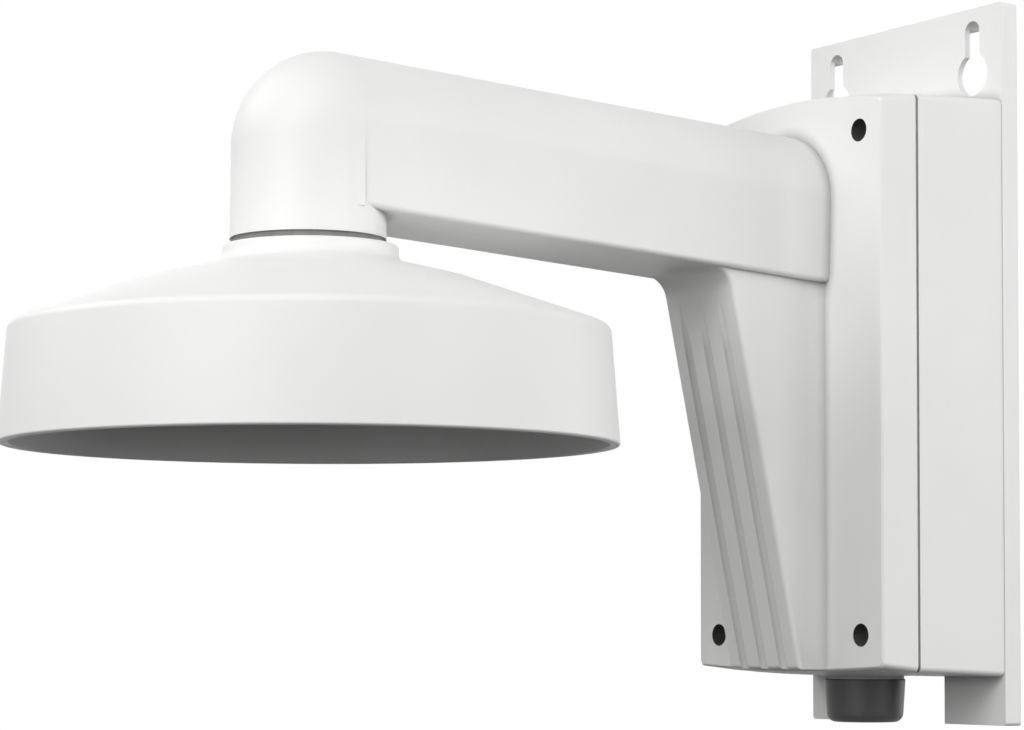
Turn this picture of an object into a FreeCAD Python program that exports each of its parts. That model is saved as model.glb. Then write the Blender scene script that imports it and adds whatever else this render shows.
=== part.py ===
import FreeCAD, Part
import math
import os

os.makedirs("parts", exist_ok=True)
V = FreeCAD.Vector

# Camera bracket for a wall: a cast arm whose root is the cover of a junction box,
# and a shallow round cap that hangs from the arm's elbow to take the camera.
# The origin lies on the wall plane at the middle of the box. The arm points to -Y,
# the wall is at y = 0, and Z is up. All sizes are in millimetres.

# Back plate
plate_margin = 0.5
plate_top = 106.5
plate_bottom = -92.6
plate_t = 5.7
plate_web = 1.8
plate_top_rim = 5.2
plate_side_rim = 3.5
plate_corner_r = 1.0
tab_inner_x = 16.2
tab_top = -79.4
plate_rib_x = 11.0
plate_rib_t = 2.4

# Keyholes that hang the plate on two wall screws
keyhole_x = 28.9
keyhole_top = 103.0
keyhole_slot_w = 5.8
keyhole_head_z = 88.0
keyhole_head_d = 12.0

# Junction box
box_depth = 35.8
box_wall = 3.0
box_back_t = 3.2
seam_half_w = 40.0
seam_top = 77.7
seam_bottom = -77.9
box_draft_side = 0.3
box_draft_top = 1.5
box_draft_bottom = 1.3
crown_top = 3.9
crown_bottom = 1.2
root_crown_bottom = 0.1
box_corner_r = 1.6
entry_d = 28.0
entry_z = 34.0
entry_lip = 3.0
entry_lip_h = 2.0
wall_hole_d = 6.0
wall_hole_z = -56.0
wall_boss_d = 14.0
wall_boss_h = 2.5

# Gasket between box and cover
gasket_t = 0.9
gasket_inset = 0.5

# Cover, the root of the arm casting
cover_depth = 11.9
cover_wall = 3.0
cover_draft_side = 0.5
cover_draft_top = 1.8
cover_draft_bottom = 1.2
cover_edge = 0.5

# Cover screws with their washers
screw_inset = 9.4
screw_top_z = 68.2
screw_bottom_z = -68.0
cover_screw_d = 3.0
cover_screw_len = 14.0
cover_head_d = 5.5
cover_head_h = 3.0
cover_washer_t = 0.5
cover_hole_d = 6.2
cover_seat_t = 3.0
cover_boss_wall = 2.0
box_post_d = 9.0
post_web_t = 3.0
thread_clear = 0.05
shank_clear = 0.2

# Arm
cap_reach = 201.75
arm_root_top = 70.0
arm_root_bottom = 28.2
arm_rise_deg = 3.15
underside_rise_deg = 3.45
arm_half_w = 17.7
arm_draft = 0.7
arm_edge_r = 1.4
arm_wall = 3.0
flare_len = 14.9
flare_out = 1.3
elbow_r = 19.4
elbow_lead = 0.8
elbow_draft = 0.3
elbow_back = 5.0
elbow_taper_len = 48.0
elbow_bottom = 30.4

# Leg under the arm
leg_half_w = 15.2
leg_flare_out = 1.2
leg_flare_len = 6.6
leg_foot_y = -57.0
leg_slant_deg = 12.5
leg_top_r = 7.0
leg_edge_r = 1.2
leg_wall = 3.0
groove_pitch = 8.5
groove_count = 3
groove_w = 3.2
groove_depth = 1.4
groove_top = 9.0
groove_fade = 15.0

# Cap
cap_rim_r = 77.5
cap_rim_z = -21.35
cap_shoulder_r = 75.2
cap_shoulder_z = 8.6
cap_shoulder_round = 4.0
cap_dome_mid_r = 40.0
cap_dome_mid_z = 21.2
cap_wall = 2.5
cap_lip = 0.6
neck_r = 22.1
neck_foot_z = 25.2
neck_top = 28.7
neck_floor_t = 3.0
neck_cable_r = 8.5
camera_screw_circle_r = 46.0
camera_boss_count = 3
camera_boss_r = 4.5
camera_boss_bottom = 7.0
camera_screw_hole_d = 3.3
camera_screw_hole_depth = 8.0
cap_rib_t = 2.0

# Cap screws, washers and seal
cap_screw_circle_r = 13.0
cap_screw_count = 3
cap_screw_d = 4.0
cap_screw_len = 14.0
cap_head_d = 7.0
cap_head_h = 2.8
cap_washer_t = 0.8
cap_post_r = 4.2
cap_post_len = 15.0
cap_seal_inset = 0.7
cap_seal_room = 0.8

# Conduit plug and its seal
plug_r = 11.3
plug_foot_r = 10.5
plug_head_len = 12.0
plug_round = 2.6
plug_thread_r = 9.9
plug_thread_len = 9.0
plug_wall = 2.0
plug_seat_drop = 0.2
plug_seal_t = 0.9
plug_seal_r = 10.9
plug_boss_wall = 3.4
plug_boss_len = 8.5
plug_seat_r = 12.6
plug_flare_r = 14.8

# Places worked out from the sizes above
plate_half_w = seam_half_w + plate_margin
screw_x = seam_half_w - screw_inset
root_half_w = seam_half_w + box_draft_side
root_top = seam_top + box_draft_top
root_bottom = seam_bottom - box_draft_bottom
cover_half_w = seam_half_w - cover_draft_side
cover_top = seam_top - cover_draft_top
cover_bottom = seam_bottom + cover_draft_bottom
seam_y = -box_depth
cover_back_y = seam_y - gasket_t
cover_front_y = cover_back_y - cover_depth
cap_y = -cap_reach
elbow_y = cap_y - elbow_lead
pivot_y = elbow_y + elbow_back
rise = math.tan(math.radians(arm_rise_deg))
underside_rise = math.tan(math.radians(underside_rise_deg))
slant = math.tan(math.radians(leg_slant_deg))
flare_start_y = cover_front_y - flare_len
elbow_top = arm_root_top + rise * (cover_front_y - pivot_y)
pivot_z = elbow_top - elbow_r - elbow_back
plug_y = -(box_depth + plate_t) / 2
plug_seat_z = seam_bottom - crown_bottom - plug_seat_drop
cover_seat_y = cover_back_y - cover_seat_t
screw_places = [(x, z) for x in (-screw_x, screw_x) for z in (screw_bottom_z, screw_top_z)]


def ridge_z(y):
    """Height of the arm's top line at a distance y from the wall."""
    return arm_root_top + rise * (cover_front_y - y)


def underside_z(y):
    """Height of the arm's flat underside."""
    return arm_root_bottom + underside_rise * (cover_front_y - y)


def prism(points, direction):
    """Solid from a closed outline of points pushed along a direction."""
    wire = Part.makePolygon(points + [points[0]])
    return Part.Face(wire).extrude(direction)


def block(x0, x1, y0, y1, z0, z1):
    """Rectangular solid between two corners."""
    return Part.makeBox(x1 - x0, y1 - y0, z1 - z0, V(x0, y0, z0))


def rod(radius, start, end):
    """Round solid from one point to another."""
    axis = end - start
    return Part.makeCylinder(radius, axis.Length, start, axis)


def polar(radius, index, count, phase=90.0):
    """X and Y of one of several places spaced round the cap's axis."""
    angle = math.radians(phase + 360.0 * index / count)
    return radius * math.cos(angle), cap_y + radius * math.sin(angle)


def round_corner(before, corner, after, radius):
    """Start, middle and end of the arc that rounds a corner."""
    to_before = (before - corner).normalize()
    to_after = (after - corner).normalize()
    half = to_before.getAngle(to_after) / 2
    bisector = (to_before + to_after).normalize()
    centre = corner + bisector * (radius / math.sin(half))
    reach = radius / math.tan(half)
    return corner + to_before * reach, centre - bisector * radius, corner + to_after * reach


def crowned_outline(y, half_w, top, bottom, inset=0.0, sag=crown_bottom):
    """Box outline at one depth: straight sides, gently arched top and bottom, round corners."""
    w = half_w - inset
    t = top - inset
    b = bottom + inset
    edges = []
    ends = {}
    for level, crown in ((t, crown_top), (b, -sag)):
        for side in (1, -1):
            corner = V(side * w, y, level)
            along_crown = corner + V(-side * w, 0, 2 * crown)
            ends[side, level] = round_corner(V(side * w, y, 0), corner, along_crown, box_corner_r)
            edges.append(Part.Arc(*ends[side, level]).toShape())
        middle = V(0, y, level + crown)
        edges.append(Part.Arc(ends[1, level][2], middle, ends[-1, level][2]).toShape())
    for side in (1, -1):
        edges.append(Part.makeLine(ends[side, t][0], ends[side, b][0]))
    return Part.Wire(Part.__sortEdges__(edges))


def box_shell():
    """Outside of the junction box, drafted from the seam back to the plate."""
    front = crowned_outline(seam_y, seam_half_w, seam_top, seam_bottom)
    back = crowned_outline(-plate_t, root_half_w, root_top, root_bottom, 0, root_crown_bottom)
    return Part.makeLoft([front, back], True, True)


def box_room():
    """Space inside the junction box, open at the seam."""
    lead = 1.0
    front = crowned_outline(seam_y - lead, seam_half_w, seam_top, seam_bottom, box_wall)
    back = crowned_outline(-box_back_t, root_half_w, root_top, root_bottom, box_wall,
                           root_crown_bottom)
    return Part.makeLoft([front, back], True, True)


def keyhole(x):
    """Hole for a screw head with a slot for its shank above it."""
    centre = V(x, -plate_t - 1, keyhole_head_z)
    back = V(0, plate_t + 2, 0)
    slot_end = V(x, centre.y, keyhole_top - keyhole_slot_w / 2)
    half = keyhole_slot_w / 2
    slot = block(x - half, x + half, centre.y, 1, keyhole_head_z, slot_end.z)
    head = rod(keyhole_head_d / 2, centre, centre + back)
    return head.fuse([slot, rod(half, slot_end, slot_end + back)])


def back_plate():
    """Flat plate with a rim behind, two tabs below and two keyholes above."""
    w = plate_half_w
    plate = block(-w, w, -plate_t, 0, plate_bottom, plate_top)
    upright = [e for e in plate.Edges if abs(e.Vertexes[0].Y - e.Vertexes[-1].Y) > 1]
    plate = plate.makeFillet(plate_corner_r, upright)
    notch = block(-tab_inner_x, tab_inner_x, -plate_t - 1, 1, plate_bottom - 1, tab_top)
    web_y = -plate_t + plate_web
    room_x = w - plate_side_rim
    room_z0 = keyhole_head_z - keyhole_head_d / 2
    room = block(-room_x, room_x, web_y, 1, room_z0, plate_top - plate_top_rim)
    for side in (-1, 1):
        x = side * plate_rib_x
        rib = block(x - plate_rib_t / 2, x + plate_rib_t / 2, web_y, 1, room_z0, plate_top)
        room = room.cut(rib)
    cuts = [notch, room, keyhole(-keyhole_x), keyhole(keyhole_x)]
    for side in (-1, 1):
        x0, x1 = sorted((side * (tab_inner_x + plate_side_rim), side * room_x))
        z0 = plate_bottom + plate_side_rim
        cuts.append(block(x0, x1, web_y, 1, z0, tab_top - plate_side_rim))
    return plate.cut(cuts)


def box_post(x, z):
    """Post for a cover screw with the web that ties it to the side wall."""
    post = rod(box_post_d / 2, V(x, -box_back_t, z), V(x, seam_y, z))
    x0, x1 = sorted((x, math.copysign(seam_half_w - box_wall / 2, x)))
    half = post_web_t / 2
    return post.fuse(block(x0, x1, seam_y, -box_back_t, z - half, z + half))


def junction_box():
    """Box and back plate, one casting."""
    plug_axis = V(0, plug_y, 0)
    seat = Part.makeCone(plug_seat_r, plug_flare_r, seam_bottom - plug_seat_z,
                         plug_axis + V(0, 0, plug_seat_z), V(0, 0, 1))
    body = box_shell().fuse([back_plate(), seat])
    body = body.cut(box_room())
    boss_top = plug_seat_z + box_wall + plug_boss_len
    boss_r = plug_thread_r + plug_boss_wall
    inner = [rod(boss_r, plug_axis + V(0, 0, plug_seat_z + 1), plug_axis + V(0, 0, boss_top))]
    entry = V(0, -box_back_t, entry_z)
    inner.append(rod(entry_d / 2 + entry_lip, entry, entry - V(0, entry_lip_h, 0)))
    for side in (-1, 1):
        foot = V(side * keyhole_x, -box_back_t, wall_hole_z)
        inner.append(rod(wall_boss_d / 2, foot, foot - V(0, wall_boss_h, 0)))
    inner += [box_post(x, z) for x, z in screw_places]
    body = body.fuse(inner)
    hole_r = plug_thread_r + thread_clear
    cuts = [rod(hole_r, plug_axis + V(0, 0, plug_seat_z - 1), plug_axis + V(0, 0, boss_top + 1))]
    cuts.append(rod(entry_d / 2, entry - V(0, entry_lip_h + 1, 0), V(0, 1, entry_z)))
    for side in (-1, 1):
        start = V(side * keyhole_x, -box_back_t - wall_boss_h - 1, wall_hole_z)
        cuts.append(rod(wall_hole_d / 2, start, V(start.x, 1, start.z)))
    tip_y = cover_seat_y + cover_screw_len + 1
    for x, z in screw_places:
        cuts.append(rod(cover_screw_d / 2 + thread_clear, V(x, seam_y - 1, z), V(x, tip_y, z)))
    return body.cut(cuts).removeSplitter()


def box_gasket():
    """Thin ring that fills the seam between box and cover."""
    push = V(0, -gasket_t, 0)
    outer = crowned_outline(seam_y, seam_half_w, seam_top, seam_bottom, gasket_inset)
    inner = crowned_outline(seam_y, seam_half_w, seam_top, seam_bottom, box_wall)
    return Part.Face(outer).extrude(push).cut(Part.Face(inner).extrude(push))


def arm_section(y, half_w, inset=0.0):
    """Arm outline across its length: flat bottom, drafted sides, round top."""
    w = half_w - inset
    top = ridge_z(y) - inset
    bottom = underside_z(y) + inset
    spring = top - w
    low_w = w - arm_draft
    right = round_corner(V(0, y, bottom), V(low_w, y, bottom), V(w, y, spring), arm_edge_r)
    left = [V(-p.x, p.y, p.z) for p in reversed(right)]
    return Part.Wire([
        Part.makeLine(left[2], right[0]),
        Part.Arc(*right).toShape(),
        Part.makeLine(right[2], V(w, y, spring)),
        Part.Arc(V(w, y, spring), V(0, y, top), V(-w, y, spring)).toShape(),
        Part.makeLine(V(-w, y, spring), left[0]),
        Part.Arc(*left).toShape(),
    ])


def arm_run(inset=0.0):
    """Arm from the elbow to the flare, wider where it leaves the elbow."""
    taper_steps = 3
    sections = []
    for i in range(taper_steps + 1):
        share = i / taper_steps
        half_w = arm_half_w + (elbow_r - arm_half_w) * (1 - share) ** 2
        sections.append(arm_section(pivot_y + elbow_taper_len * share, half_w, inset))
    sections.append(arm_section(flare_start_y, arm_half_w, inset))
    return Part.makeLoft(sections, True, True)


def arm_flare(inset, end_y):
    """Last stretch of the arm, which spreads a little to meet the cover."""
    bend = 0.18
    knee_y = flare_start_y + flare_len * bend
    knee = arm_section(knee_y, arm_half_w + flare_out * bend / 2, inset)
    start = arm_section(flare_start_y, arm_half_w, inset)
    root = arm_section(end_y, arm_half_w + flare_out, inset)
    return Part.makeLoft([start, knee, root], True, True)


def elbow():
    """Bend from the level arm down to the round neck that carries the cap."""
    r = elbow_r
    face = Part.Face(Part.Wire([
        Part.makeLine(V(-r, pivot_y, pivot_z), V(r, pivot_y, pivot_z)),
        Part.makeLine(V(r, pivot_y, pivot_z), V(r, elbow_y, pivot_z)),
        Part.Arc(V(r, elbow_y, pivot_z), V(0, elbow_y - r, pivot_z), V(-r, elbow_y, pivot_z)).toShape(),
        Part.makeLine(V(-r, elbow_y, pivot_z), V(-r, pivot_y, pivot_z)),
    ]))
    bend = face.revolve(V(0, pivot_y, pivot_z), V(-1, 0, 0), 90)
    column = face.extrude(V(0, 0, underside_z(pivot_y) - pivot_z))
    foot = V(0, elbow_y, elbow_bottom)
    neck = Part.makeCone(r + elbow_draft, r, pivot_z - elbow_bottom, foot, V(0, 0, 1))
    return bend.fuse([column, neck])


def elbow_core():
    """Round space up through the neck, closing in under the bend, where the arm's space ends."""
    r = elbow_r - arm_wall
    foot = V(0, elbow_y, elbow_bottom - 1)
    knee = V(0, elbow_y, pivot_z)
    tip_r = r * 0.5
    tip = Part.makeCone(r, tip_r, r - tip_r, knee, V(0, 0, 1))
    link = block(-r, r, elbow_y, pivot_y, elbow_bottom + cap_post_len, pivot_z)
    return rod(r, foot, knee).fuse([tip, link])


def leg_plan(inset, end_y):
    """Leg seen from above, long enough in front to be cut by its side outline."""
    w = leg_half_w - inset
    root_w = w + leg_flare_out
    spread_r = (leg_flare_len ** 2 + leg_flare_out ** 2) / (2 * leg_flare_out)
    half_len = leg_flare_len / 2
    spread_y = cover_front_y - leg_flare_len
    middle_w = w + spread_r - math.sqrt(spread_r ** 2 - half_len ** 2)
    edges = []
    for side in (-1, 1):
        start = V(side * w, spread_y, 0)
        middle = V(side * middle_w, spread_y + half_len, 0)
        root = V(side * root_w, cover_front_y, 0)
        edges.append(Part.makeLine(V(side * w, pivot_y, 0), start))
        edges.append(Part.Arc(start, middle, root).toShape())
        edges.append(Part.makeLine(root, V(side * root_w, end_y, 0)))
    edges.append(Part.makeLine(V(-w, pivot_y, 0), V(w, pivot_y, 0)))
    edges.append(Part.makeLine(V(-root_w, end_y, 0), V(root_w, end_y, 0)))
    return Part.Face(Part.Wire(Part.__sortEdges__(edges)))


def leg_front_y(z):
    """Depth of the leg's sloping front at a height z."""
    return leg_foot_y - slant * (z - (seam_bottom + gasket_t))


def leg_solid():
    """Leg that props the arm, with its front blended into the arm's underside."""
    bottom = cover_bottom - crown_bottom / 2
    high = underside_z(flare_start_y) + 6
    meet_z = underside_z(leg_front_y(underside_z(flare_start_y)))
    corner = V(0, leg_front_y(meet_z), meet_z)
    ahead = V(0, corner.y - 3 * leg_top_r, underside_z(corner.y - 3 * leg_top_r))
    foot = V(0, leg_front_y(bottom), bottom)
    first, middle, last = round_corner(ahead, corner, foot, leg_top_r)
    points = [last, foot, V(0, cover_front_y + 1, bottom), V(0, cover_front_y + 1, high),
              V(0, ahead.y, high), ahead, first]
    edges = [Part.makeLine(points[i], points[i + 1]) for i in range(6)]
    edges.append(Part.Arc(first, middle, last).toShape())
    side = Part.Face(Part.Wire(edges))
    reach = leg_half_w + leg_flare_out + 2
    side.translate(V(-reach, 0, 0))
    body = side.extrude(V(2 * reach, 0, 0))
    plan = leg_plan(0, cover_front_y + 1).extrude(V(0, 0, high - bottom))
    plan.translate(V(0, 0, bottom))
    body = body.common(plan)
    rounded = []
    for edge in body.Edges:
        a, b = edge.Vertexes[0].Point, edge.Vertexes[-1].Point
        at_side = min(abs(a.x), abs(b.x)) > leg_half_w - 0.01
        if at_side and abs(a.y - leg_front_y(a.z)) < 0.01 and abs(b.y - leg_front_y(b.z)) < 0.01:
            rounded.append(edge)
    return body.makeFillet(leg_edge_r, rounded)


def leg_room():
    """Space inside the leg, open to the arm and to the back of the cover."""
    low = cover_bottom + leg_wall
    high = underside_z(flare_start_y) + 6
    back = cover_front_y + cover_wall + 1
    skin = leg_wall / math.cos(math.radians(leg_slant_deg))
    side = [V(0, leg_front_y(low) + skin, low), V(0, leg_front_y(high) + skin, high),
            V(0, back, high), V(0, back, low)]
    plan = leg_plan(leg_wall, back).extrude(V(0, 0, high - low))
    plan.translate(V(0, 0, low))
    wide = leg_half_w + leg_flare_out
    body = prism([p - V(wide, 0, 0) for p in side], V(2 * wide, 0, 0))
    return body.common(plan)


def leg_grooves():
    """Shallow grooves side by side down the leg's front, fading out at their tops."""
    radius = (groove_w ** 2 / 4 + groove_depth ** 2) / (2 * groove_depth)
    lift = radius - groove_depth
    down = V(0, slant, -1).normalize()
    outward = V(0, -1, -slant).normalize()
    start = V(0, leg_front_y(groove_top), groove_top) + outward * lift
    length = (groove_top - seam_bottom + 6) / math.cos(math.radians(leg_slant_deg))
    cutters = []
    for i in range(groove_count):
        x = groove_pitch * (i - (groove_count - 1) / 2)
        begin = start + V(x, 0, 0)
        end = begin - down * groove_fade + outward * groove_depth
        cutters.append(rod(radius, begin, begin + down * length))
        cutters.append(Part.makeSphere(radius, begin))
        cutters.append(rod(radius, begin, end))
    return cutters


def cover_pan():
    """Outside of the cover, a shallow crowned tray with a softened front edge."""
    front = crowned_outline(cover_front_y, cover_half_w, cover_top, cover_bottom, cover_edge)
    brow = crowned_outline(cover_front_y + cover_edge, cover_half_w, cover_top, cover_bottom)
    back = crowned_outline(cover_back_y, seam_half_w, seam_top, seam_bottom)
    return Part.makeLoft([front, brow, back], True, True)


def cover_room():
    """Space inside the cover, open at the seam."""
    lead = 1.0
    floor_y = cover_front_y + cover_wall
    front = crowned_outline(floor_y, cover_half_w, cover_top, cover_bottom, cover_wall)
    back = crowned_outline(cover_back_y + lead, seam_half_w, seam_top, seam_bottom, cover_wall)
    return Part.makeLoft([front, back], True, True)


def bracket_arm():
    """Arm, leg and cover, one hollow casting that the cables run through."""
    body = cover_pan().fuse([arm_run(), arm_flare(0, cover_front_y), elbow(), leg_solid()])
    body = body.cut(leg_grooves())
    room_end = cover_front_y + cover_wall + 1
    rooms = [cover_room(), arm_run(arm_wall), arm_flare(arm_wall, room_end), elbow_core(),
             leg_room()]
    body = body.cut(rooms)
    posts = []
    boss_r = cover_hole_d / 2 + cover_boss_wall
    for x, z in screw_places:
        posts.append(rod(boss_r, V(x, cover_front_y + 1, z), V(x, cover_back_y, z)))
    for i in range(cap_screw_count):
        x, y = polar(cap_screw_circle_r, i, cap_screw_count)
        posts.append(rod(cap_post_r, V(x, y, elbow_bottom), V(x, y, elbow_bottom + cap_post_len)))
    body = body.fuse(posts)
    holes = []
    for x, z in screw_places:
        holes.append(rod(cover_hole_d / 2, V(x, cover_front_y - 1, z), V(x, cover_seat_y, z)))
        holes.append(rod(cover_screw_d / 2 + shank_clear, V(x, cover_seat_y - 1, z),
                         V(x, cover_back_y + 1, z)))
    for i in range(cap_screw_count):
        x, y = polar(cap_screw_circle_r, i, cap_screw_count)
        tip = neck_top - neck_floor_t + cap_screw_len
        holes.append(rod(cap_screw_d / 2 + thread_clear, V(x, y, elbow_bottom - 1), V(x, y, tip)))
    return body.cut(holes).removeSplitter()


def cap_profile(inset):
    """Half section of the cap's wall and dome, on its outside or its inside."""
    rim = V(cap_rim_r - inset, cap_y, cap_rim_z)
    shoulder = V(cap_shoulder_r - inset, cap_y, cap_shoulder_z - inset)
    crest = V(cap_dome_mid_r, cap_y, cap_dome_mid_z - inset)
    return rim, shoulder, crest


def turned(points):
    """Solid turned round the upright axis on which its first point lies."""
    wire = Part.makePolygon(points + [points[0]])
    return Part.Face(wire).revolve(points[0], V(0, 0, 1), 360)


def cap_outside():
    """Outside of the cap: drafted wall, eased shoulder, two-slope dome and neck ring."""
    rim, shoulder, crest = cap_profile(0)
    start, bend, end = round_corner(rim, shoulder, crest, cap_shoulder_round)
    up_wall = (shoulder - rim).normalize()
    return turned([V(0, cap_y, cap_rim_z), rim - V(cap_lip, 0, 0), rim + up_wall * cap_lip,
                   start, bend, end, crest, V(neck_r, cap_y, neck_foot_z),
                   V(neck_r, cap_y, neck_top), V(0, cap_y, neck_top)])


def cap_inside():
    """Space under the cap's wall, dome and neck."""
    rim, shoulder, crest = cap_profile(cap_wall)
    low = cap_rim_z - 1
    ceiling = V(neck_r - cap_wall, cap_y, neck_top - neck_floor_t)
    neck_step = V(ceiling.x, cap_y, neck_foot_z - cap_wall)
    return turned([V(0, cap_y, low), V(rim.x, cap_y, low), rim, shoulder, crest, neck_step,
                   ceiling, V(0, cap_y, ceiling.z)])


def cap():
    """Round cap with a cable hole, camera screw bosses and ribs under its dome."""
    outside = cap_outside()
    extras = []
    for i in range(camera_boss_count):
        x, y = polar(camera_screw_circle_r, i, camera_boss_count)
        extras.append(rod(camera_boss_r, V(x, y, camera_boss_bottom), V(x, y, neck_top)))
        rib = block(neck_r - cap_wall, camera_screw_circle_r, -cap_rib_t / 2, cap_rib_t / 2,
                    camera_boss_bottom + 4, neck_top)
        rib.rotate(V(0, 0, 0), V(0, 0, 1), 90 + 360.0 * i / camera_boss_count)
        rib.translate(V(0, cap_y, 0))
        extras.append(rib)
    ribs = extras[0].fuse(extras[1:]).common(outside)
    body = outside.cut(cap_inside()).fuse(ribs)
    holes = [rod(neck_cable_r, V(0, cap_y, 0), V(0, cap_y, neck_top + 1))]
    for i in range(camera_boss_count):
        x, y = polar(camera_screw_circle_r, i, camera_boss_count)
        depth = camera_boss_bottom + camera_screw_hole_depth
        holes.append(rod(camera_screw_hole_d / 2, V(x, y, camera_boss_bottom - 1), V(x, y, depth)))
    for i in range(cap_screw_count):
        x, y = polar(cap_screw_circle_r, i, cap_screw_count)
        holes.append(rod(cap_screw_d / 2 + shank_clear, V(x, y, 0), V(x, y, neck_top + 1)))
    return body.cut(holes).removeSplitter()


def cap_seal():
    """Flat rubber seal between the cap's neck and the elbow."""
    seal_r = elbow_r + elbow_draft - cap_seal_inset
    ring = rod(seal_r, V(0, elbow_y, neck_top), V(0, elbow_y, elbow_bottom))
    way_r = neck_cable_r + cap_seal_room
    holes = [rod(way_r, V(0, cap_y, neck_top - 1), V(0, cap_y, elbow_bottom + 1))]
    for i in range(cap_screw_count):
        x, y = polar(cap_screw_circle_r, i, cap_screw_count)
        holes.append(rod(cap_screw_d / 2 + shank_clear, V(x, y, neck_top - 1),
                         V(x, y, elbow_bottom + 1)))
    return ring.cut(holes)


def screw(tip_way, seat, length, shank_d, head_d, head_h, washer_t):
    """Socket head screw whose washer lies on the seat."""
    way = tip_way
    under = seat - way * washer_t
    shank = rod(shank_d / 2, under, seat + way * (length - washer_t))
    head = rod(head_d / 2, under - way * head_h, under)
    flat = head_d * 0.25
    side = way.cross(V(1, 0, 0)).normalize()
    across = way.cross(side).normalize()
    corners = []
    for k in range(6):
        angle = math.radians(60 * k)
        corners.append(under - way * (head_h + 1)
                       + side * (flat * math.cos(angle)) + across * (flat * math.sin(angle)))
    socket = prism(corners, way * (1 + head_h * 0.6))
    return head.fuse(shank).cut(socket).removeSplitter()


def washer(way, seat, outer_d, inner_d, thickness):
    """Flat ring on the seat under a screw's head."""
    top = seat - way * thickness
    return rod(outer_d / 2, top, seat).cut(rod(inner_d / 2, top - way, seat + way))


def cover_seats():
    """Places on the cover's counterbored floors where its screws bear."""
    return [V(x, cover_seat_y, z) for x, z in screw_places]


def cap_seats():
    """Places under the cap's neck where its screws bear."""
    places = [polar(cap_screw_circle_r, i, cap_screw_count) for i in range(cap_screw_count)]
    return [V(x, y, neck_top - neck_floor_t) for x, y in places]


def cover_screws():
    """Four screws that hold the cover on the box."""
    return Part.makeCompound([screw(V(0, 1, 0), seat, cover_screw_len, cover_screw_d,
                                    cover_head_d, cover_head_h, cover_washer_t)
                              for seat in cover_seats()])


def cover_washers():
    """Sealing washers under the cover screws."""
    inner_d = cover_screw_d + 2 * shank_clear
    return Part.makeCompound([washer(V(0, 1, 0), seat, cover_head_d + shank_clear, inner_d,
                                     cover_washer_t) for seat in cover_seats()])


def cap_screws():
    """Screws that hold the cap to the elbow from below."""
    return Part.makeCompound([screw(V(0, 0, 1), seat, cap_screw_len - 1, cap_screw_d,
                                    cap_head_d, cap_head_h, cap_washer_t)
                              for seat in cap_seats()])


def cap_washers():
    """Washers under the cap screws."""
    inner_d = cap_screw_d + 2 * shank_clear
    return Part.makeCompound([washer(V(0, 0, 1), seat, cap_head_d + shank_clear, inner_d,
                                     cap_washer_t) for seat in cap_seats()])


def conduit_plug():
    """Threaded plug with a smooth round head, hollow from the inside of the box."""
    top = plug_seat_z - plug_seal_t
    foot_z = top - plug_head_len
    thread_top = plug_seat_z + plug_thread_len
    side = V(plug_r, plug_y, top)
    corner = V(plug_foot_r, plug_y, foot_z)
    centre = V(0, plug_y, foot_z)
    start, bend, end = round_corner(side, corner, centre, plug_round)
    floor_z = top - plug_wall
    room_r = plug_thread_r - plug_wall
    return turned([centre, end, bend, start, side, V(plug_thread_r, plug_y, top),
                   V(plug_thread_r, plug_y, thread_top), V(room_r, plug_y, thread_top),
                   V(room_r, plug_y, floor_z), V(0, plug_y, floor_z)])


def plug_seal():
    """Flat seal ring between the plug's head and the bottom of the box."""
    axis = V(0, plug_y, 0)
    top = axis + V(0, 0, plug_seat_z)
    ring = rod(plug_seal_r, top - V(0, 0, plug_seal_t), top)
    return ring.cut(rod(plug_thread_r + thread_clear, top - V(0, 0, plug_seal_t + 1), top + V(0, 0, 1)))


for make in (junction_box, box_gasket, bracket_arm, cover_screws, cover_washers, cap, cap_seal,
             cap_screws, cap_washers, conduit_plug, plug_seal):
    shape = make()
    kinds = [s.isValid() for s in shape.Solids]
    print(make.__name__, "solids", len(kinds), "valid", all(kinds), "volume", round(shape.Volume))
    shape.exportStep("parts/" + make.__name__ + ".step")
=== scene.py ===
import math

import bmesh
import bpy
from mathutils import Matrix, Vector


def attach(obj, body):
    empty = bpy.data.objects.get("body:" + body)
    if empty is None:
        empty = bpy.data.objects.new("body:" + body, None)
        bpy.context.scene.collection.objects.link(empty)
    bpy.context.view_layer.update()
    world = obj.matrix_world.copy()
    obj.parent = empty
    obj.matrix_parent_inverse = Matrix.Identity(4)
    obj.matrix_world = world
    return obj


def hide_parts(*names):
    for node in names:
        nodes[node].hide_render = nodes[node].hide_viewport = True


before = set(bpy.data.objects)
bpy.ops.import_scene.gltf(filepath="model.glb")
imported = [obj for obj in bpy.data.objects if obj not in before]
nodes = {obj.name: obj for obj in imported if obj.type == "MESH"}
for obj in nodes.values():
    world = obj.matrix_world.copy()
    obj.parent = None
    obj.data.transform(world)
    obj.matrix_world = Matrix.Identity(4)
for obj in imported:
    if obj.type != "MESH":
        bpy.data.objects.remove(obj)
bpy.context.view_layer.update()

# Junction box
# The box and its flat back plate are one die casting, with two keyholes above for the wall
# screws and two tabs below. It is coated with white polyester powder, baked to a satin skin.

cloud_low, cloud_high = 0.3, 0.7


def new_finish(name):
    """New material, with its nodes, its surface shader and its place on the piece."""
    finish = bpy.data.materials.new(name)
    finish.use_nodes = True
    tree = finish.node_tree
    return finish, tree, tree.nodes["Principled BSDF"], tree.nodes.new("ShaderNodeTexCoord")


def noise(tree, place, cycles, detail):
    """Cloudy pattern with so many cycles to the metre."""
    cloud = tree.nodes.new("ShaderNodeTexNoise")
    cloud.inputs["Scale"].default_value = cycles
    cloud.inputs["Detail"].default_value = detail
    tree.links.new(place.outputs["Object"], cloud.inputs["Vector"])
    return cloud


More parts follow.
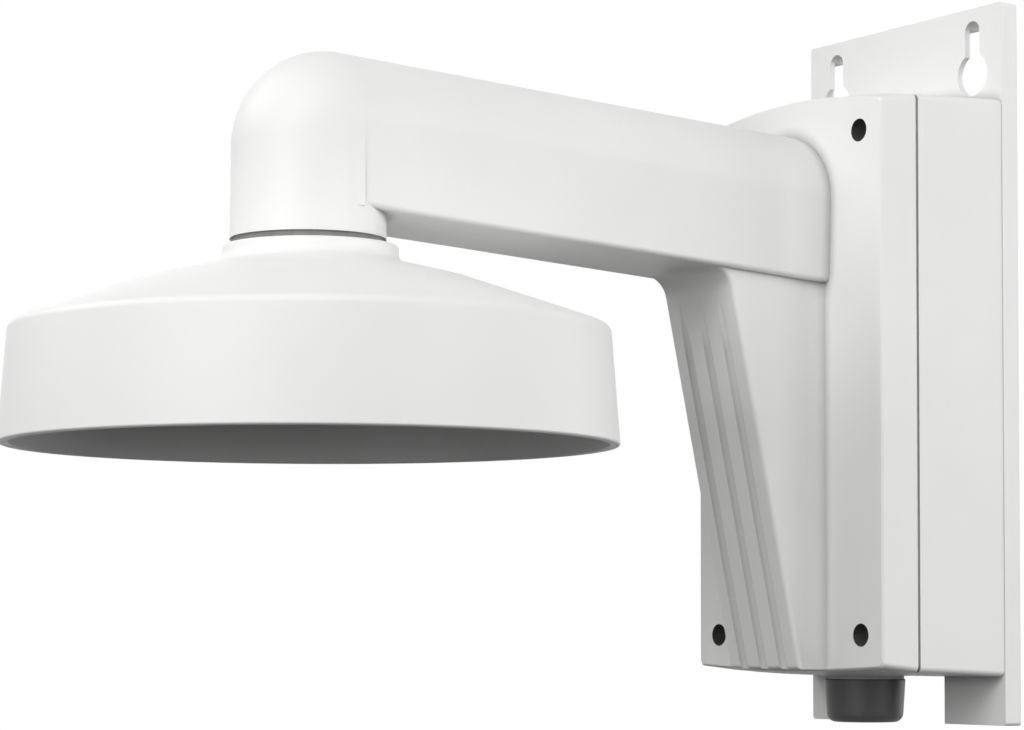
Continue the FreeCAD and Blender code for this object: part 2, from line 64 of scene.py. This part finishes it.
def spread(tree, cloud, low, high):
    """The pattern stretched between a low and a high value."""
    span = tree.nodes.new("ShaderNodeMapRange")
    span.inputs["From Min"].default_value = cloud_low
    span.inputs["From Max"].default_value = cloud_high
    span.inputs["To Min"].default_value = low
    span.inputs["To Max"].default_value = high
    tree.links.new(cloud.outputs["Fac"], span.inputs["Value"])
    return span


def two_tones(tree, cloud, shade, light):
    """Colour that drifts between two near tones with the pattern."""
    ramp = tree.nodes.new("ShaderNodeValToRGB")
    ramp.color_ramp.elements[0].position = cloud_low
    ramp.color_ramp.elements[0].color = (*shade, 1)
    ramp.color_ramp.elements[1].position = cloud_high
    ramp.color_ramp.elements[1].color = (*light, 1)
    tree.links.new(cloud.outputs["Fac"], ramp.inputs["Fac"])
    return ramp


def relief(tree, cloud, height, under=None):
    """Bumps of a height in metres, laid over coarser bumps where there are any."""
    bump = tree.nodes.new("ShaderNodeBump")
    bump.inputs["Strength"].default_value = 1.0
    bump.inputs["Distance"].default_value = height
    tree.links.new(cloud.outputs["Fac"], bump.inputs["Height"])
    if under:
        tree.links.new(under.outputs["Normal"], bump.inputs["Normal"])
    return bump


def powder_coat(name, shade, light, hollow_shade_tone):
    """White powder coat with orange peel and a fine grain, with painted shade greying it in tight
    hollows and between parts.
    """
    hollow_reach, closed_in, open_out = 0.005, 0.35, 0.86
    coat, tree, skin, place = new_finish(name)
    drift = noise(tree, place, cycles=26, detail=2)
    peel = noise(tree, place, cycles=820, detail=3)
    grain = noise(tree, place, cycles=3600, detail=1)
    # Painted shade: the coat is mixed towards a grey tone in hollows, corners and where other parts
    # are near.
    occlusion = tree.nodes.new("ShaderNodeAmbientOcclusion")
    occlusion.samples = 8
    occlusion.inputs["Distance"].default_value = hollow_reach
    cover = tree.nodes.new("ShaderNodeMapRange")
    cover.inputs["From Min"].default_value = closed_in
    cover.inputs["From Max"].default_value = open_out
    tree.links.new(occlusion.outputs["AO"], cover.inputs["Value"])
    shade_mix = tree.nodes.new("ShaderNodeMix")
    shade_mix.data_type = "RGBA"
    tree.links.new(cover.outputs["Result"], shade_mix.inputs["Factor"])
    shade_mix.inputs["A"].default_value = (*hollow_shade_tone, 1)
    tree.links.new(two_tones(tree, drift, shade, light).outputs["Color"], shade_mix.inputs["B"])
    tree.links.new(shade_mix.outputs["Result"], skin.inputs["Base Color"])
    gloss = spread(tree, grain, low=0.42, high=0.54)
    tree.links.new(gloss.outputs["Result"], skin.inputs["Roughness"])
    coarse = relief(tree, peel, height=0.000010)
    fine = relief(tree, grain, height=0.000002, under=coarse)
    tree.links.new(fine.outputs["Normal"], skin.inputs["Normal"])
    skin.inputs["IOR"].default_value = 1.45
    return coat


# The third tone is painted shade, mixed in where surfaces lie close together.
coat_shade, coat_light, coat_hollow_shade = (0.775, 0.775, 0.768), (0.8, 0.8, 0.793), (0.33, 0.33, 0.325)
white_coat = powder_coat("white_powder_coat", coat_shade, coat_light, coat_hollow_shade)
nodes["junction_box"].data.materials[0] = white_coat

# Box gasket
# A thin ring of pale grey silicone rubber, die cut from sheet. The four cover screws press it
# between the rims of box and cover, where it shows as a fine line.


def soft_rubber(name, shade, light):
    """Matt rubber with a fine talc bloom."""
    rubber, tree, skin, place = new_finish(name)
    bloom = noise(tree, place, cycles=300, detail=4)
    pores = noise(tree, place, cycles=4200, detail=2)
    gloss = spread(tree, bloom, low=0.7, high=0.9)
    grain = relief(tree, pores, height=0.00001)
    tree.links.new(two_tones(tree, bloom, shade, light).outputs["Color"], skin.inputs["Base Color"])
    tree.links.new(gloss.outputs["Result"], skin.inputs["Roughness"])
    tree.links.new(grain.outputs["Normal"], skin.inputs["Normal"])
    return rubber


grey_silicone = soft_rubber("grey_silicone", (0.42, 0.42, 0.41), (0.5, 0.5, 0.49))
nodes["box_gasket"].data.materials[0] = grey_silicone

# Bracket arm
# The arm, the leg under it and the cover of the box are one hollow casting that the cable
# runs through. It has the same white coat, and the walls of its four screw holes are painted
# near black as painted shade.


def math_node(tree, operation, first, second=None):
    """One step of arithmetic on a value, with a number or another value."""
    step = tree.nodes.new("ShaderNodeMath")
    step.operation = operation
    for place, value in enumerate((first, second)):
        if isinstance(value, (int, float)):
            step.inputs[place].default_value = value
        elif value is not None:
            tree.links.new(value, step.inputs[place])
    return step.outputs["Value"]


# Painted shade: the walls of the four screw holes are coloured near black.
hole_x, upper_z, lower_z, hole_r = 0.0306, 0.0682, -0.068, 0.0031
mask_r = hole_r * 1.004
painted_hole_shade = (0.07, 0.07, 0.068)
arm_coat = powder_coat("arm_powder_coat", coat_shade, coat_light, coat_hollow_shade)
tree = arm_coat.node_tree
skin = tree.nodes["Principled BSDF"]
place = tree.nodes.new("ShaderNodeTexCoord")
split = tree.nodes.new("ShaderNodeSeparateXYZ")
tree.links.new(place.outputs["Object"], split.inputs["Vector"])
aside = math_node(tree, "SUBTRACT", math_node(tree, "ABSOLUTE", split.outputs["X"]), hole_x)
from_upper = math_node(tree, "SUBTRACT", split.outputs["Z"], upper_z)
from_lower = math_node(tree, "SUBTRACT", split.outputs["Z"], lower_z)
off_row = math_node(tree, "MINIMUM", math_node(tree, "ABSOLUTE", from_upper),
                    math_node(tree, "ABSOLUTE", from_lower))
aside_squared = math_node(tree, "MULTIPLY", aside, aside)
off_row_squared = math_node(tree, "MULTIPLY", off_row, off_row)
reach_squared = math_node(tree, "ADD", aside_squared, off_row_squared)
hole_shade_mask = math_node(tree, "LESS_THAN", reach_squared, mask_r ** 2)
hole_shade_mix = tree.nodes.new("ShaderNodeMix")
hole_shade_mix.data_type = "RGBA"
coat_colour = skin.inputs["Base Color"].links[0].from_socket
tree.links.new(hole_shade_mask, hole_shade_mix.inputs["Factor"])
tree.links.new(coat_colour, hole_shade_mix.inputs["A"])
hole_shade_mix.inputs["B"].default_value = (*painted_hole_shade, 1)
tree.links.new(hole_shade_mix.outputs["Result"], skin.inputs["Base Color"])
nodes["bracket_arm"].data.materials[0] = arm_coat

# Cover screws
# Four stainless socket screws, M3 and 14 mm long, cold headed with rolled threads. They sit
# deep in round holes in the cover and are driven into the posts of the box.

sharp_angle = math.radians(32)


def put_in_scene(name, form):
    """New object in the scene, made of a mesh, light or camera."""
    thing = bpy.data.objects.new(name, form)
    bpy.context.scene.collection.objects.link(thing)
    return thing


def cast(name, form):
    """Mesh of a finished form."""
    mesh = bpy.data.meshes.new(name)
    form.to_mesh(mesh)
    form.free()
    return mesh


def spun(name, rings, steps, closed=False):
    """Mesh of rings round the Z axis. A ring is (radius, height), or gives it for an angle."""
    form = bmesh.new()
    loops = []
    on_axis = 1e-7
    for ring in rings:
        angles = [2 * math.pi * k / steps for k in range(steps)]
        spots = [ring(t) if callable(ring) else ring for t in angles]
        if max(radius for radius, height in spots) < on_axis:
            loops.append([form.verts.new((0, 0, spots[0][1]))] * steps)
        else:
            loops.append([form.verts.new((radius * math.cos(t), radius * math.sin(t), height))
                          for t, (radius, height) in zip(angles, spots)])
    for low, high in zip(loops, loops[1:] + loops[:1] if closed else loops[1:]):
        for k in range(steps):
            j = (k + 1) % steps
            corners = list(dict.fromkeys((low[k], low[j], high[j], high[k])))
            form.faces.new(corners)
    bmesh.ops.recalc_face_normals(form, faces=form.faces)
    mesh = cast(name, form)
    mesh.shade_smooth()
    mesh.set_sharp_from_angle(angle=sharp_angle)
    return mesh


def eased(corners, steps=6):
    """Outline of (radius, height, rounding) corners, each turned into a short arc."""
    outline = []
    for i, (x, z, ease) in enumerate(corners):
        corner = Vector((x, z))
        if ease == 0:
            outline.append(corner)
            continue
        one = (Vector(corners[i - 1][:2]) - corner).normalized()
        two = (Vector(corners[(i + 1) % len(corners)][:2]) - corner).normalized()
        half = one.angle(two) / 2
        centre = corner + (one + two).normalized() * (ease / math.sin(half))
        start = corner + one * (ease / math.tan(half)) - centre
        end = corner + two * (ease / math.tan(half)) - centre
        for k in range(steps + 1):
            spoke = start.lerp(end, k / steps).normalized()
            outline.append(centre + spoke * ease)
    return [tuple(spot) for spot in outline]


def thread(low, high, crest_r, depth, pitch, rows=8):
    """Rings of a helical thread between two heights, fading out at both ends."""
    flank = 2.7
    rings = []
    count = round((high - low) / pitch * rows)
    for k in range(count + 1):
        height = low + (high - low) * k / count
        fade = min(1.0, (height - low) / pitch, (high - height) / pitch)

        def ring(angle, height=height, fade=fade):
            turn = (height / pitch - angle / (2 * math.pi)) % 1.0
            ridge = min(1.0, max(0.0, flank / 2 - flank * abs(turn - 0.5))) * fade
            return crest_r - depth + depth * ridge, height

        rings.append(ring)
    return rings


def hexagon(flats, height):
    """Six-sided ring of the screw's socket."""
    sixth = math.pi / 3

    def ring(angle):
        off = (angle + sixth / 2) % sixth - sixth / 2
        return flats / 2 / math.cos(off), height

    return ring


def socket_screw(name, length, shank_d, pitch, head_d, head_h, key):
    """Screw with its head under z = 0 and its tip up, all sizes in metres."""
    crest = shank_d / 2
    depth = 0.54 * pitch
    edge = head_h * 0.09
    deep = -head_h * 0.42
    rings = [(0, length), (crest - depth - edge, length)]
    rings += thread(edge, length - edge, crest, depth, pitch)[::-1]
    rings += [(crest - depth, 0), (head_d / 2 - edge, 0)]
    rings += [(head_d / 2, -edge), (head_d / 2, -head_h + 2 * edge)]
    rings += [(head_d / 2 - edge, -head_h + edge / 2), (head_d / 2 - 2 * edge, -head_h)]
    rings += [(key * 0.62, -head_h), hexagon(key, -head_h + edge / 2)]
    rings += [hexagon(key, deep), (key * 0.3, deep), (0, deep + key * 0.1)]
    return spun(name, rings, steps=36)


def screw_steel(name, shade, light):
    """Stainless steel, bright with faint turning marks."""
    steel, tree, skin, place = new_finish(name)
    marks = noise(tree, place, cycles=1500, detail=4)
    gloss = spread(tree, marks, low=0.22, high=0.38)
    grooves = relief(tree, marks, height=0.000003)
    tree.links.new(two_tones(tree, marks, shade, light).outputs["Color"], skin.inputs["Base Color"])
    tree.links.new(gloss.outputs["Result"], skin.inputs["Roughness"])
    tree.links.new(grooves.outputs["Normal"], skin.inputs["Normal"])
    skin.inputs["Metallic"].default_value = 1.0
    return steel


stainless = screw_steel("stainless_screw_steel", (0.46, 0.455, 0.44), (0.6, 0.595, 0.58))
cover_screw_mesh = socket_screw("cover_screw", length=0.014, shank_d=0.003, pitch=0.0005,
                                head_d=0.0055, head_h=0.003, key=0.0025)
cover_screw_mesh.materials.append(stainless)
head_seat_y = -0.0402
tip_to_wall = Matrix.Rotation(-math.pi / 2, 4, "X")
for side, x in (("left", -hole_x), ("right", hole_x)):
    for row, z in (("lower", lower_z), ("upper", upper_z)):
        cover_screw = put_in_scene(f"cover_screw_{row}_{side}", cover_screw_mesh)
        cover_screw.matrix_world = Matrix.Translation((x, head_seat_y, z)) @ tip_to_wall
        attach(cover_screw, "root")
        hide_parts("cover_screws")

# Cover washers
# Thin nylon rings under the heads of the cover screws, punched from sheet. They keep water
# out of the screw holes and spare the coat.


def nylon(name, shade, light):
    """Milky nylon with a dull shine."""
    plastic, tree, skin, place = new_finish(name)
    milk = noise(tree, place, cycles=500, detail=3)
    gloss = spread(tree, milk, low=0.35, high=0.5)
    dimples = relief(tree, milk, height=0.000006)
    tree.links.new(two_tones(tree, milk, shade, light).outputs["Color"], skin.inputs["Base Color"])
    tree.links.new(gloss.outputs["Result"], skin.inputs["Roughness"])
    tree.links.new(dimples.outputs["Normal"], skin.inputs["Normal"])
    skin.inputs["Subsurface Weight"].default_value = 0.15
    skin.inputs["Subsurface Scale"].default_value = 0.001
    return plastic


washer_nylon = nylon("washer_nylon", (0.68, 0.67, 0.63), (0.76, 0.75, 0.71))
nodes["cover_washers"].data.materials[0] = washer_nylon

# Cap
# A round shallow cap, die cast and powder coated like the arm. The camera's base fits up into
# it on three bosses, and three screws through the floor of its neck hold it to the elbow.

cap_axis_y, cap_wall_t = -0.20175, 0.0025
rim_r, rim_z = 0.0775, -0.02135
shoulder_r, shoulder_z = 0.0752, 0.0081
slope_r, slope_z = 0.040, 0.0202
neck_r, neck_foot_z, neck_top_z = 0.0221, 0.0246, 0.0287
neck_inner_r, neck_roof_z, cable_hole_r = 0.0196, 0.0257, 0.0085
dome = [(shoulder_r, shoulder_z), (slope_r, slope_z), (neck_r, neck_foot_z)]


def dome_z(radius):
    """Height of the dome's outside at a radius."""
    for (r1, z1), (r2, z2) in zip(dome, dome[1:]):
        if radius >= r2:
            return z1 + (z2 - z1) * (r1 - radius) / (r1 - r2)
    return dome[-1][1]


cap_outline = eased([
    (rim_r, rim_z, 0.0006), (shoulder_r, shoulder_z, 0.0025), (slope_r, slope_z, 0.05),
    (neck_r, neck_foot_z, 0.0030), (neck_r, neck_top_z, 0.0005),
    (cable_hole_r, neck_top_z, 0.0003), (cable_hole_r, neck_roof_z, 0.0003),
    (neck_inner_r, neck_roof_z, 0.0006), (neck_inner_r, neck_foot_z - cap_wall_t, 0.0008),
    (slope_r, slope_z - cap_wall_t, 0.02),
    (shoulder_r - cap_wall_t, shoulder_z - cap_wall_t, 0.002), (rim_r - cap_wall_t, rim_z, 0.0005),
], steps=10)
boss_r, boss_foot_z, boss_top_z = 0.0045, 0.007, 0.016
boss_outline = eased([(0, boss_foot_z, 0), (boss_r, boss_foot_z, 0.0006),
                      (boss_r, boss_top_z, 0), (0, boss_top_z, 0)], steps=4)
screw_circle_r, boss_circle_r = 0.013, 0.046
hair, half_wall = 0.00001, cap_wall_t / 2
rib_foot_z, rib_half_t, rib_inner_r, rib_root_r, rib_outer_r = 0.011, 0.001, 0.0190, 0.0222, 0.0420
rib_side = [(rib_inner_r, rib_foot_z), (rib_outer_r, rib_foot_z),
            (rib_outer_r, dome_z(rib_outer_r) - half_wall), (slope_r, dome_z(slope_r) - half_wall),
            (rib_inner_r, dome_z(rib_root_r) - half_wall)]
# Each drill has its circle's radius, its own radius, the height of its middle and its length.
screw_drill = (screw_circle_r, 0.0022, 0.0272, 0.006)
boss_drill = (boss_circle_r, 0.00165, 0.0100, 0.010)
thirds = [math.radians(90 + 120 * k) for k in range(3)]
fittings, drills = bmesh.new(), bmesh.new()
for angle in thirds:
    turn = Matrix.Rotation(angle, 4, "Z")
    boss = spun("camera_boss", boss_outline, steps=48)
    boss.transform(turn @ Matrix.Translation((boss_circle_r, 0, 0)))
    for vertex in boss.vertices:
        if vertex.co.z > boss_top_z - hair:
            vertex.co.z = dome_z(vertex.co.xy.length) - half_wall
    fittings.from_mesh(boss)
    rib = bmesh.new()
    walls = [[rib.verts.new((radius, y, z)) for radius, z in rib_side]
             for y in (-rib_half_t, rib_half_t)]
    rib.faces.new(walls[0])
    rib.faces.new(walls[1][::-1])
    for i in range(len(rib_side)):
        j = (i + 1) % len(rib_side)
        rib.faces.new((walls[0][j], walls[0][i], walls[1][i], walls[1][j]))
    bmesh.ops.recalc_face_normals(rib, faces=rib.faces)
    low_edges = [edge for edge in rib.edges
                 if all(vertex.co.z < rib_foot_z + hair for vertex in edge.verts)
                 and abs(edge.verts[0].co.x - edge.verts[1].co.x) > hair]
    bmesh.ops.bevel(rib, geom=low_edges, offset=0.0005, segments=3, affect="EDGES")
    rib_mesh = cast("cap_rib", rib)
    rib_mesh.transform(turn)
    fittings.from_mesh(rib_mesh)
    for circle_r, drill_r, middle_z, drill_l in (screw_drill, boss_drill):
        stand = turn @ Matrix.Translation((circle_r, 0, middle_z))
        bmesh.ops.create_cone(drills, cap_ends=True, segments=48, radius1=drill_r,
                              radius2=drill_r, depth=drill_l, matrix=stand)

blank = put_in_scene("cap_blank", spun("cap_blank", cap_outline, steps=288, closed=True))
cap_tools = (("UNION", put_in_scene("cap_fittings", cast("cap_fittings", fittings))),
             ("DIFFERENCE", put_in_scene("cap_drills", cast("cap_drills", drills))))
for operation, solid in cap_tools:
    step = blank.modifiers.new(solid.name, "BOOLEAN")
    step.operation = operation
    step.solver = "EXACT"
    step.use_self = operation == "UNION"
    step.object = solid
machined = blank.evaluated_get(bpy.context.evaluated_depsgraph_get())
cap_shell = bpy.data.meshes.new_from_object(machined)
for solid in (blank, *(solid for operation, solid in cap_tools)):
    bpy.data.objects.remove(solid)
cap = put_in_scene("cap_shell", cap_shell)
cap.location = (0, cap_axis_y, 0)
cap_shell.shade_smooth()
cap_shell.set_sharp_from_angle(angle=sharp_angle)
cap_shell.materials.clear()
cap_shell.materials.append(white_coat)
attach(cap, "root")
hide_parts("cap")

# Cap seal
# A flat disc of grey silicone rubber between the neck of the cap and the elbow, with a hole
# for the cable and three for the screws.

dark_silicone = soft_rubber("dark_grey_silicone", (0.2, 0.2, 0.195), (0.26, 0.26, 0.25))
nodes["cap_seal"].data.materials[0] = dark_silicone

# Cap screws
# Three stainless socket screws, M4 and 13 mm long, cold headed with rolled threads. They are
# put in from below through the floor of the cap's neck and hold it to the elbow.

cap_screw_mesh = socket_screw("cap_screw", length=0.013, shank_d=0.004, pitch=0.0007,
                              head_d=0.007, head_h=0.0028, key=0.003)
cap_screw_mesh.materials.append(stainless)
head_seat_z = 0.0249
for k, angle in enumerate(thirds):
    cap_screw = put_in_scene(f"cap_screw_{k + 1}", cap_screw_mesh)
    cap_screw.location = (screw_circle_r * math.cos(angle),
                          cap_axis_y + screw_circle_r * math.sin(angle), head_seat_z)
    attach(cap_screw, "root")
    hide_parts("cap_screws")

# Cap washers
# Plain stainless washers, stamped from strip. They lie under the heads of the cap screws,
# against the floor of the neck.

nodes["cap_washers"].data.materials[0] = stainless

# Conduit plug
# A blanking plug moulded in black nylon, with an M20 thread. It closes the hole under the box
# where a cable may come in, and is screwed in by hand.


def moulded_nylon(name, shade, light):
    """Black moulded nylon with a fine spark-eroded texture."""
    plastic, tree, skin, place = new_finish(name)
    flow = noise(tree, place, cycles=120, detail=3)
    spark = noise(tree, place, cycles=5200, detail=2)
    gloss = spread(tree, spark, low=0.42, high=0.6)
    texture = relief(tree, spark, height=0.000012)
    tree.links.new(two_tones(tree, flow, shade, light).outputs["Color"], skin.inputs["Base Color"])
    tree.links.new(gloss.outputs["Result"], skin.inputs["Roughness"])
    tree.links.new(texture.outputs["Normal"], skin.inputs["Normal"])
    return plastic


bore_r, bore_foot_z, plug_top_z, chamfer_r = 0.0079, -0.002, 0.0099, 0.0092
plug_rings = eased([(0, bore_foot_z, 0), (bore_r, bore_foot_z, 0.0006),
                    (bore_r, plug_top_z, 0.0002), (chamfer_r, plug_top_z, 0.0002)])
plug_rings += thread(0.0004, 0.0097, crest_r=0.0099, depth=0.0009, pitch=0.0015, rows=10)[::-1]
plug_rings += eased([(0.0090, 0, 0), (0.0113, 0, 0.0003), (0.0105, -0.012, 0.0026),
                     (0, -0.0123, 0)], steps=10)
plug = put_in_scene("blanking_plug", spun("blanking_plug", plug_rings, steps=96))
plug.location = (0, -0.02075, -0.0802)
plug_nylon = moulded_nylon("black_plug_nylon", (0.028, 0.028, 0.0275), (0.037, 0.037, 0.036))
plug.data.materials.append(plug_nylon)
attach(plug, "root")
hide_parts("conduit_plug")

# Plug seal
# A flat ring of grey silicone rubber, die cut from sheet. The plug presses it against its seat
# under the box.

nodes["plug_seal"].data.materials[0] = grey_silicone

# Studio
# A pale paper floor well below the bracket takes its soft shadow and fades out to white round
# its rim. White shows behind it, and seven soft lamps stand round the bracket.


def background_ray(tree):
    """One for a ray from the camera, a mirror or glass, and nought for soft light."""
    rays = tree.nodes.new("ShaderNodeLightPath")
    mirror = math_node(tree, "MAXIMUM", rays.outputs["Is Camera Ray"],
                       rays.outputs["Is Glossy Ray"])
    return math_node(tree, "MAXIMUM", mirror, rays.outputs["Is Transmission Ray"])


def blend(tree, factor, first, second):
    """Two shaders mixed by a factor."""
    mix = tree.nodes.new("ShaderNodeMixShader")
    tree.links.new(factor, mix.inputs["Fac"])
    tree.links.new(first.outputs[0], mix.inputs[1])
    tree.links.new(second.outputs[0], mix.inputs[2])
    return mix


dusk = (0.03, 0.03, 0.03, 1)
world = bpy.data.worlds.new("white_room")
world.use_nodes = True
bpy.context.scene.world = world
tree = world.node_tree
white_wall = tree.nodes["Background"]
white_wall.inputs["Color"].default_value = (1, 1, 1, 1)
dim_wall = tree.nodes.new("ShaderNodeBackground")
dim_wall.inputs["Color"].default_value = dusk
wall = blend(tree, background_ray(tree), dim_wall, white_wall)
tree.links.new(wall.outputs[0], tree.nodes["World Output"].inputs["Surface"])

floor_rings = [(0, 0), (0.5, 0), (1.0, 0), (1.5, 0)]
fade_from_r, fade_to_r = 0.35, 1.3
floor = put_in_scene("floor", spun("floor", floor_rings, steps=96))
floor.data.flip_normals()
floor.location = (0, -0.12, -0.45)
paper, tree, sheet, place = new_finish("pale_paper")
fibres = noise(tree, place, cycles=90, detail=4)
fibre_tones = two_tones(tree, fibres, (0.88, 0.88, 0.88), (0.91, 0.91, 0.91))
tree.links.new(fibre_tones.outputs["Color"], sheet.inputs["Base Color"])
sheet.inputs["Roughness"].default_value = 0.9
rim_white = tree.nodes.new("ShaderNodeEmission")
shade_side = tree.nodes.new("ShaderNodeBsdfDiffuse")
shade_side.inputs["Color"].default_value = dusk
from_middle = tree.nodes.new("ShaderNodeVectorMath")
from_middle.operation = "LENGTH"
tree.links.new(place.outputs["Object"], from_middle.inputs[0])
fade = tree.nodes.new("ShaderNodeMapRange")
fade.interpolation_type = "SMOOTHSTEP"
fade.inputs["From Min"].default_value = fade_from_r
fade.inputs["From Max"].default_value = fade_to_r
tree.links.new(from_middle.outputs["Value"], fade.inputs["Value"])
seen_floor = blend(tree, fade.outputs["Result"], sheet, rim_white)
ground = blend(tree, background_ray(tree), shade_side, seen_floor)
under_side = tree.nodes.new("ShaderNodeNewGeometry").outputs["Backfacing"]
clear = tree.nodes.new("ShaderNodeBsdfTransparent")
one_sided = blend(tree, under_side, ground, clear)
tree.links.new(one_sided.outputs[0], tree.nodes["Material Output"].inputs["Surface"])
floor.data.materials.append(paper)

aim, lamp_away, lamp_d = Vector((0, -0.12, 0)), 1.6, 1.1
# Each lamp has its bearing round the bracket and its height in degrees, and its watts.
lamps = (("front_lamp", -40, 40, 8.9), ("side_lamp", 20, 10, 13), ("high_lamp", 45, 40, 11),
         ("right_lamp", 110, 10, 9.2), ("rear_lamp", 150, 10, 8.8), ("wall_lamp", 180, 10, 5.4),
         ("left_lamp", -115, 12, 3.0))
for name, round_deg, up_deg, watts in lamps:
    bearing, tilt = math.radians(round_deg), math.radians(up_deg)
    flat = math.cos(tilt)
    way = Vector((math.sin(bearing) * flat, -math.cos(bearing) * flat, math.sin(tilt)))
    light = bpy.data.lights.new(name, "AREA")
    light.shape = "DISK"
    light.size = lamp_d
    light.energy = watts
    lamp = put_in_scene(name, light)
    lamp.location = aim + way * lamp_away
    lamp.rotation_euler = way.to_track_quat("Z", "Y").to_euler()

# Camera
# It stands to the right of the bracket and a little below it, and looks up by a few degrees.
# Its place, its turn and its focal length are those that put the edges where the photo has them.

picture_w, picture_h, sensor_mm = 1024, 730, 36
focal_px, centre_px = 2983.1, (416.35, 496.97)
azimuth, elevation, roll = (math.radians(v) for v in (57.68, -2.70, -0.17))
flat = math.cos(elevation)
back = Vector((math.sin(azimuth) * flat, -math.cos(azimuth) * flat, math.sin(elevation)))
right = Vector((math.cos(azimuth), math.sin(azimuth), 0))
up = back.cross(right)
across = right * math.cos(roll) - up * math.sin(roll)
upward = up * math.cos(roll) + right * math.sin(roll)
camera = put_in_scene("camera", bpy.data.cameras.new("camera"))
stand = Matrix((across, upward, back)).transposed().to_4x4()
stand.translation = (0.64268, -0.57679, -0.06903)
camera.matrix_world = stand
camera.data.sensor_width = sensor_mm
camera.data.lens = sensor_mm * focal_px / picture_w
camera.data.shift_x = (picture_w / 2 - centre_px[0]) / picture_w
camera.data.shift_y = (centre_px[1] - picture_h / 2) / picture_w
camera.data.clip_start = 0.01
bpy.context.scene.camera = camera
bpy.context.scene.view_settings.view_transform = "Standard"
